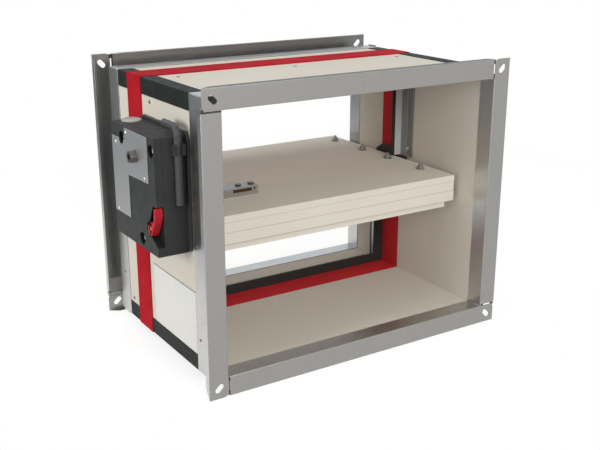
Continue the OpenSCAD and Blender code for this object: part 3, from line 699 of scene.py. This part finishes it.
def flange_sheet(bm, u, v, short, tab, place):
    """Flange piece along the top edge. u is half its run and v the height of its inner edge."""
    s = Sheet(place)
    t, r = SHEET_T, FOLD_R
    corner, end, top = u + FACE_W - short, u - JOINT_GAP, v + FACE_W
    run, leg_z = u + BOARD, v + BOARD

    lip_row, face_top = s.fold([-corner + LIP_START, -u, end], (r, top - r), r, -t, 90)
    s.face(*lip_row, s.point(end - LIP_END_SLANT, LIP_D, top, 0, -t),
           s.point(-corner + LIP_START + LIP_SLANT, LIP_D, top, 0, -t))

    face_low, neck_row = s.fold([-u, end], (r, v + r), r, -t, 180)
    s.face(face_top[1], face_top[2], face_low[1], face_low[0])
    outer, inner = s.point(-corner, 0, top, t, 0), s.point(-u, 0, v, t, 0)
    centre = (-corner + SLOT_IN, top - SLOT_IN)
    upper = slot_edge(s, *centre, 0, 1) + slot_edge(s, *centre, math.pi / 2, -1)
    lower = slot_edge(s, *centre, math.pi, -1) + slot_edge(s, *centre, 1.5 * math.pi, 1)
    s.face(outer, s.point(-corner + LIP_START, 0, top, t, 0), face_top[0], face_top[1], face_low[0],
           inner, *upper)
    s.face(inner, s.point(-corner + CUT_END, 0, v, t, 0), s.point(-corner, 0, v + CUT_SIDE, t, 0),
           outer, *lower)

    neck_rear, web_low = s.fold([-u, u], (NECK - r, v + r), r, -t, 270)
    gap_edge = SHEET_T / 2
    s.face(neck_row[0], neck_row[1], s.point(end, gap_edge, v, 0, t), s.point(u, gap_edge, v, 0, t),
           neck_rear[1], neck_rear[0])

    far = -run - t
    fold_y = NECK + LEG_FOLD_R
    leg_row, web_top = s.fold([far, u], (fold_y, leg_z - LEG_FOLD_R), LEG_FOLD_R, t, 90, 3)
    s.face(web_low[0], web_low[1], web_top[1], web_top[0], s.point(far, NECK, v, -t, 0),
           s.point(-u, NECK, v, -t, 0))

    def on_leg(x, y):
        return s.point(x, y, leg_z, 0, t)

    near = run - SEAM
    outline = [leg_row[0], leg_row[1], on_leg(near, fold_y)]
    if tab:
        outline += [on_leg(near, SIDE_TAB_Y[0]), on_leg(run + tab, SIDE_TAB_Y[0]),
                    on_leg(run + tab, SIDE_TAB_Y[1]), on_leg(near, SIDE_TAB_Y[1])]
    outline += [on_leg(near, LEG_END), on_leg(far, LEG_END)]
    if short:
        low_y, high_y = SIDE_TAB_Y[0] - SEAM, SIDE_TAB_Y[1] + SEAM
        outline += [on_leg(far, high_y), on_leg(-run + SEAM, high_y), on_leg(-run + SEAM, low_y),
                    on_leg(far, low_y)]
    s.face(*outline)
    s.build(bm)


def flange_end(bm, u, v, place):
    """The plain end of a flange piece: its edge folded back and two tabs behind the joint."""
    t, end, top = SHEET_T, u - JOINT_GAP, v + FACE_W
    box_solid(bm, (end - t, t, v + FOLD_R), (end, FLAP_D, top - FOLD_R), place)
    for z in (v + t, top - 1.5 * t - JOINT_TAB):
        box_solid(bm, (end, t, z), (u + JOINT_GAP, 2 * t, z + JOINT_TAB), place)


def tall_tab(bm, u, v, place):
    """The next piece's long tab, that lies along the inside of this piece's face at its plain end."""
    end = u - JOINT_GAP - SHEET_T
    box_solid(bm, (end - TALL_TAB, SHEET_T, v + FOLD_R), (end, 2 * SHEET_T, v + FACE_W - TALL_TAB_IN), place)


def turned(quarter):
    return Matrix.Rotation(math.pi / 2 * quarter, 4, "Y")


TO_REAR = Matrix.Translation((0, LENGTH, 0)) @ Matrix.Rotation(math.pi, 4, "Z")
FLANGES = (("front_flange_top", 0, False), ("front_flange_right", 1, False),
           ("front_flange_bottom", 2, False), ("front_flange_left", 3, False),
           ("rear_flange_top", 0, True), ("rear_flange_left", 1, True),
           ("rear_flange_bottom", 2, True), ("rear_flange_right", 3, True))

TALL_TAB_NODE = "rear_flange_left"

ends, tall_end = bmesh.new(), bmesh.new()
for node, quarter, rear in FLANGES:
    bm = bmesh.new()
    level = quarter % 2 == 0
    run, height = (HALF_W, HALF_H) if level else (HALF_H, HALF_W)
    place = (TO_REAR if rear else Matrix.Identity(4)) @ turned(quarter)
    flange_sheet(bm, run, height, SHORT if level else 0, SIDE_TAB_H if rear and not level else 0, place)
    flange_end(tall_end if node == TALL_TAB_NODE else ends, run, height, place)
    if node == TALL_TAB_NODE:
        tall_tab(tall_end, run, height, place)
    sheet = piece(node + "_sheet", bm, finish_of(node), "casing", (node,))
    round_edges(sheet, 0.2, 1, 50)
piece("flange_end_folds", ends, "shaded_steel", "casing")
piece("rear_left_end_tab", tall_end, "tab_steel_painted_shade", "casing")


# Screws and rivets

def heads(node, name, finish, out_of):
    """Detailed heads where the CAD node has plain ones. out_of tells which way each head faces."""
    bm = bmesh.new()
    for lo, hi in islands(node):
        mid = (lo + hi) / 2
        k = thin_axis(lo, hi)
        way = Vector((0, 0, 0))
        way[k] = out_of(mid, k)
        base = mid.copy()
        base[k] = lo[k] if way[k] > 0 else hi[k]
        r = (hi[(k + 1) % 3] - lo[(k + 1) % 3]) / 2
        turn = Matrix.Rotation(random.uniform(0, math.pi / 2), 4, "Z")
        screw_head(bm, axes(base, way) @ turn, r, hi[k] - lo[k])
    piece(name, bm, finish, "casing", (node,))


def away(mid, k):
    return 1 if mid[k] > 0 else -1


def inward(mid, k):
    return -away(mid, k)


heads("flange_screws", "flange_screw_heads", "worn_zinc", away)
heads("board_screws", "board_screw_heads", "worn_zinc", away)
heads("stop_screws", "stop_screw_heads", "bright_zinc", inward)

# Blind rivets in the plate: flat dome, sunk centre with the broken mandrel
bm = bmesh.new()
for lo, hi in islands("plate_rivets"):
    mid = (lo + hi) / 2
    base = Vector((hi.x, mid.y, mid.z))
    r = (hi.y - lo.y) / 2
    h = hi.x - lo.x
    lathe(bm, [(0, 0), (r, 0), (r, h * 0.25), (r * 0.82, h * 0.75), (r * 0.5, h), (r * 0.42, h),
               (r * 0.38, h * 0.45), (r * 0.3, h * 0.45), (r * 0.27, h * 0.8), (0, h * 0.85)],
          axes(base, (-1, 0, 0)), 24)
piece("plate_rivet_heads", bm, "bright_zinc", "casing", ("plate_rivets",))

# Socket screws at the bottom of the housing's three wells, in a very pale finish that is a painted glint
bm = bmesh.new()
for lo, hi in islands("box_screws"):
    mid = (lo + hi) / 2
    place = axes((lo.x, mid.y, mid.z), (-1, 0, 0))
    r = (hi.y - lo.y) / 2
    key = 2.2 / math.cos(math.pi / 6)
    socket = [(key * math.cos(math.pi / 3 * i), key * math.sin(math.pi / 3 * i)) for i in range(6)]
    lathe(bm, [(r - 2.6, lo.x - hi.x), (r - 2.6, -3), (r, -3), (r, -0.4), (r - 0.4, 0), (r * 0.72, 0)],
          place, 30)
    outer = [bm.verts.new(place @ Vector((r * 0.72 * math.cos(a), r * 0.72 * math.sin(a), 0)))
             for a in (2 * math.pi * i / 30 for i in range(30))]
    inner = [bm.verts.new(place @ Vector((x, y, 0))) for x, y in socket]
    low = [bm.verts.new(place @ Vector((x, y, -2.3))) for x, y in socket]
    for i in range(6):
        j = (i + 1) % 6
        bm.faces.new([inner[i], inner[j], low[j], low[i]])
        bm.faces.new([outer[(5 * i + q) % 30] for q in range(6)] + [inner[j], inner[i]])
    bm.faces.new(low)
piece("box_screw_heads", bm, "well_zinc_painted_glint", "casing", ("box_screws",))


# Blade hardware

bm = bmesh.new()
for lo, hi in islands("blade_studs"):
    mid = (lo + hi) / 2
    r = (hi.x - lo.x) / 2
    thread(bm, r, lo.z, hi.z, axes((mid.x, mid.y, 0), (0, 0, 1)))
piece("blade_stud_threads", bm, "dark_zinc", "blade", ("blade_studs",), smooth=20)

bm = bmesh.new()
for lo, hi in islands("blade_washers"):
    mid = (lo + hi) / 2
    r = (hi.x - lo.x) / 2
    h = hi.z - lo.z
    lathe(bm, [(3.2, 0), (r, 0), (r, h * 0.7), (r - 0.4, h), (3.5, h), (3.2, h * 0.8), (3.2, 0)],
          axes((mid.x, mid.y, lo.z), (0, 0, 1)), 32)
piece("blade_washer_rings", bm, "dark_zinc", "blade", ("blade_washers",))

bm = bmesh.new()
for lo, hi in islands("blade_nuts"):
    mid = (lo + hi) / 2
    turn = Matrix.Rotation(random.uniform(0, math.pi / 3), 4, "Z")
    hex_solid(bm, 10, hi.z - lo.z, axes((mid.x, mid.y, lo.z), (0, 0, 1)) @ turn, 0.8, hole=3.05)
piece("blade_nut_hexes", bm, "dark_zinc", "blade", ("blade_nuts",), smooth=20)

bm = bmesh.new()
for lo, hi in islands("bracket_bolts"):
    mid = (lo + hi) / 2
    head = 3.2
    turn = Matrix.Rotation(random.uniform(0, math.pi / 3), 4, "Z")
    hex_solid(bm, 10, head - 1, axes((mid.x, mid.y, hi.z - head + 1), (0, 0, 1)) @ turn, 0.7)
    thread(bm, 3, lo.z, hi.z - head + 1.2, axes((mid.x, mid.y, 0), (0, 0, 1)))
piece("bracket_bolt_heads", bm, "worn_zinc", "blade", ("bracket_bolts",), smooth=20)


# Release box details

# Cable entry cap: turned disc with a raised middle and a knurled rim
lo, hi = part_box("entry_cap")
lo, hi = lo / MM, hi / MM
mid = (lo + hi) / 2
bm = bmesh.new()
h = hi.z - lo.z
r = (hi.x - lo.x) / 2
n = 96
profile = [(r, 0), (r, h * 0.62), (r - 0.6, h * 0.74), (r - 2.4, h * 0.74), (r - 2.7, h * 0.95),
           (r - 3.2, h), (r * 0.32, h), (r * 0.30, h * 0.86), (0, h * 0.86)]
rings = []
for j, (q, z) in enumerate(profile):
    if q == 0:
        rings.append([bm.verts.new((mid.x, mid.y, lo.z + z))])
        continue
    ring = []
    for i in range(n):
        a = 2 * math.pi * i / n
        k = q - (0.25 if j < 3 and i % 4 < 2 else 0)
        ring.append(bm.verts.new((mid.x + k * math.cos(a), mid.y + k * math.sin(a), lo.z + z)))
    rings.append(ring)
for a, b in zip(rings, rings[1:]):
    for i in range(n):
        j = (i + 1) % n
        quad = list(dict.fromkeys([a[i % len(a)], a[j % len(a)], b[j % len(b)], b[i % len(b)]]))
        bm.faces.new(quad)
bm.faces.new(rings[0][::-1])
piece("entry_cap_disc", bm, "light_plastic", "casing", ("entry_cap",))


# Hex key: one bar with a bent corner and chamfered ends, held in the clip
KEY_AF, KEY_BEND = 10, 12
lo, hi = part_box("hex_key")
lo, hi = lo / MM, hi / MM
key_r = KEY_AF / 2 / math.cos(math.pi / 6)
key_x, key_y, key_z = (lo.x + hi.x) / 2, lo.y + key_r, hi.z - key_r
section = []
for i in range(6):
    a = math.pi / 6 + math.pi / 3 * i
    for turn in (-0.09, 0.09):
        section.append((key_r * 0.985 * math.cos(a + turn), key_r * 0.985 * math.sin(a + turn)))
route = [(0, key_y, lo.z, 0.8), (0, key_y, lo.z + 0.9, 1)]
for i in range(13):
    route.append((math.pi / 2 * i / 12, None, None, 1))
route += [(math.pi / 2, hi.y - 0.9, key_z, 1), (math.pi / 2, hi.y, key_z, 0.8)]
bm = bmesh.new()
rings = []
for a, y, z, size in route:
    if y is None:
        y = key_y + KEY_BEND * (1 - math.cos(a))
        z = key_z - KEY_BEND * (1 - math.sin(a))
    rings.append([bm.verts.new((key_x + p * size, y - q * size * math.cos(a), z + q * size * math.sin(a)))
                  for p, q in section])
for one, two in zip(rings, rings[1:]):
    for i in range(12):
        bm.faces.new([one[i - 1], one[i], two[i], two[i - 1]])
bm.faces.new(rings[0])
bm.faces.new(rings[-1])
piece("hex_key_bar", bm, "key_steel", "casing", ("hex_key",), smooth=20)


# Release lever: moulded bar with a ring for the finger at its foot, rounded all round
LEVER_LOW, LEVER_HIGH = (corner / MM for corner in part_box("release_lever"))
LEVER_EDGE = [(1.3, 44.7), (0, 34.3), (2.9, 24.3), (6.5, 17.8), (10.8, 10.8), (14.3, 4.8), (17.3, 0),
              (21.3, 0), (25.3, 2.6), (29.6, 8.4), (27.8, 14.8), (20.8, 20.7), (13.8, 21.1), (9.8, 22.1),
              (6.9, 26.3), (5.6, 36), (4.5, 44.7)]
LEVER_EYE = [(19.9, 18.5), (14.9, 18.3), (13.3, 13.3), (15.5, 7.6), (18.3, 2.7), (21.9, 3.3), (25.9, 8.6),
             (25.1, 14.3)]
FRONT_CUT, REAR_CUT = 4, 9   # points of the edge that the eye is joined to
bm = bmesh.new()


def lever_rows(outline):
    """The outline, measured from the lever's lower front corner, on its outer and inner side."""
    return [[bm.verts.new((x, LEVER_LOW.y + y, LEVER_LOW.z + z)) for y, z in outline]
            for x in (LEVER_LOW.x, LEVER_HIGH.x)]


edge_rows, eye_rows = lever_rows(LEVER_EDGE), lever_rows(LEVER_EYE)
for rows in (edge_rows, eye_rows):
    for i in range(len(rows[0])):
        bm.faces.new([rows[0][i - 1], rows[0][i], rows[1][i], rows[1][i - 1]])
for edge, eye in zip(edge_rows, eye_rows):
    bm.faces.new(edge[FRONT_CUT:REAR_CUT + 1] + [eye[6], eye[5], eye[4], eye[3]])
    bm.faces.new(edge[REAR_CUT:] + edge[:FRONT_CUT + 1] + [eye[3], eye[2], eye[1], eye[0], eye[7], eye[6]])
lever = piece("release_lever_moulding", bm, "red_plastic", "release_lever", ("release_lever",),
              smooth=45)
round_edges(lever, 1.3, 3, 60)

# Pale block inside the ring, a painted highlight on the ring's inner wall
HIGHLIGHT_LOW, HIGHLIGHT_HIGH = Vector((3, 23.9, 5.8)), Vector((7, 25.7, 12.3))
bm = bmesh.new()
box_solid(bm, LEVER_LOW + HIGHLIGHT_LOW, LEVER_LOW + HIGHLIGHT_HIGH, Matrix.Identity(4))
piece("release_lever_painted_highlight", bm, "pale_painted_highlight", "release_lever")


# Camera

camera = bpy.data.cameras.new("camera")
camera.lens = 56.05
camera.sensor_width = 36
camera.sensor_fit = "HORIZONTAL"
camera.clip_end = 20
eye = bpy.data.objects.new("camera", camera)
eye.location = (-0.82417, -1.10185, 0.43702)
YAW, DOWN = 0.5662, 0.3126
look = Vector((math.sin(YAW) * math.cos(DOWN), math.cos(YAW) * math.cos(DOWN), -math.sin(DOWN)))
eye.rotation_euler = look.to_track_quat("-Z", "Y").to_euler()
bpy.context.scene.collection.objects.link(eye)
bpy.context.scene.camera = eye


# Light, world and floor

WARM_WHITE = (1.0, 0.99, 0.97)


def lamp(name, place, aim, size, power):
    """Rectangular panel of light at a place, turned to its aim."""
    data = bpy.data.lights.new(name, "AREA")
    data.shape = "RECTANGLE"
    data.size, data.size_y = size
    data.energy = power
    data.color = WARM_WHITE
    obj = bpy.data.objects.new(name, data)
    obj.location = place
    obj.rotation_euler = (Vector(aim) - Vector(place)).to_track_quat("-Z", "Y").to_euler()
    bpy.context.scene.collection.objects.link(obj)


lamp("front_panel", (-0.5, -2.9, 1.4), (0, 0, 0), (1.6, 1.2), 52)
lamp("left_panel", (-3.0, 0.1, 0.65), (0, 0.2, 0), (1.6, 1.2), 40)
lamp("top_panel", (-0.2, 0.1, 3.0), (0, 0.2, 0), (1.8, 1.8), 22)

def add(tree, kind, sources=(), **values):
    """A new node. Its first sockets are linked to the sources and others are set by their names."""
    node = tree.nodes.new(kind)
    for i, source in enumerate(sources):
        tree.links.new(source, node.inputs[i])
    for key, value in values.items():
        node.inputs[key.replace("_", " ")].default_value = value
    return node


def either(tree, one, two):
    node = add(tree, "ShaderNodeMath", (one, two))
    node.operation = "MAXIMUM"
    return node.outputs[0]


def mirror_ray(tree, path):
    return either(tree, path["Is Glossy Ray"], path["Is Transmission Ray"])


# White to the camera, an even room for soft light, and for reflections a studio with a dark wall behind
ROOM = (1.0, 0.985, 0.965, 1)
BANDS = ((0.0, 1.0, 1.0, 1.0), (0.30, 0.95, 0.98, 1.0), (0.365, 0.22, 0.24, 0.26), (0.45, 0.12, 0.135, 0.15),
         (0.53, 0.35, 0.39, 0.42), (0.61, 0.84, 0.90, 0.96), (1.0, 0.95, 0.98, 1.0))
world = bpy.data.worlds.new("studio")
bpy.context.scene.world = world
world.use_nodes = True
tree = world.node_tree
tree.nodes.clear()
path = add(tree, "ShaderNodeLightPath").outputs
way = add(tree, "ShaderNodeSeparateXYZ", (add(tree, "ShaderNodeTexCoord").outputs["Generated"],)).outputs
behind = add(tree, "ShaderNodeMapRange", (way["Y"],), From_Min=-0.15, From_Max=0.25)
rise = add(tree, "ShaderNodeMapRange", (way["Z"],), From_Min=-1, From_Max=1)
band = add(tree, "ShaderNodeValToRGB", (rise.outputs[0],))
while len(band.color_ramp.elements) < len(BANDS):
    band.color_ramp.elements.new(0.5)
for element, (at, r, g, b) in zip(band.color_ramp.elements, BANDS):
    element.position = at
    element.color = (r, g, b, 1)
room = add(tree, "ShaderNodeBackground", Color=ROOM, Strength=0.45)
white = add(tree, "ShaderNodeBackground", Color=(1, 1, 1, 1), Strength=1)
dim = add(tree, "ShaderNodeBackground", Color=ROOM, Strength=0.55)
studio = add(tree, "ShaderNodeBackground", (band.outputs[0],), Strength=1)
mirror = add(tree, "ShaderNodeMixShader", (behind.outputs[0], dim.outputs[0], studio.outputs[0]))
light = add(tree, "ShaderNodeMixShader", (mirror_ray(tree, path), room.outputs[0], mirror.outputs[0]))
shown = add(tree, "ShaderNodeMixShader", (path["Is Camera Ray"], light.outputs[0], white.outputs[0]))
add(tree, "ShaderNodeOutputWorld", (shown.outputs[0],))

# Pale floor under the object: white to the eye and in reflections, with the object's shadow on it
FLOOR = ((-0.55, 0.004), (1.3, 0.004), (1.3, 1.5), (-0.55, 1.5))
FLOOR_DROP = 0.3 * MM
bm = bmesh.new()
bm.faces.new([bm.verts.new((x, y, CAD_BOX[0][2] - FLOOR_DROP)) for x, y in FLOOR])
mesh = bpy.data.meshes.new("floor")
bm.to_mesh(mesh)
bm.free()
floor = bpy.data.objects.new("floor", mesh)
bpy.context.scene.collection.objects.link(floor)
pale = bpy.data.materials.new("floor")
pale.use_nodes = True
tree = pale.node_tree
tree.nodes.clear()
path = add(tree, "ShaderNodeLightPath").outputs
seen = either(tree, path["Is Camera Ray"], mirror_ray(tree, path))
plain = add(tree, "ShaderNodeBsdfDiffuse", Color=(0.6, 0.59, 0.575, 1))
faint = add(tree, "ShaderNodeBsdfDiffuse", Color=(0.28, 0.28, 0.28, 1))
glow = add(tree, "ShaderNodeEmission", Color=(1, 1, 1, 1), Strength=0.80)
shadowed = add(tree, "ShaderNodeAddShader", (faint.outputs[0], glow.outputs[0]))
surface = add(tree, "ShaderNodeMixShader", (seen, plain.outputs[0], shadowed.outputs[0]))
add(tree, "ShaderNodeOutputMaterial", (surface.outputs[0],))
mesh.materials.append(pale)

bpy.context.scene.view_settings.view_transform = "Standard"
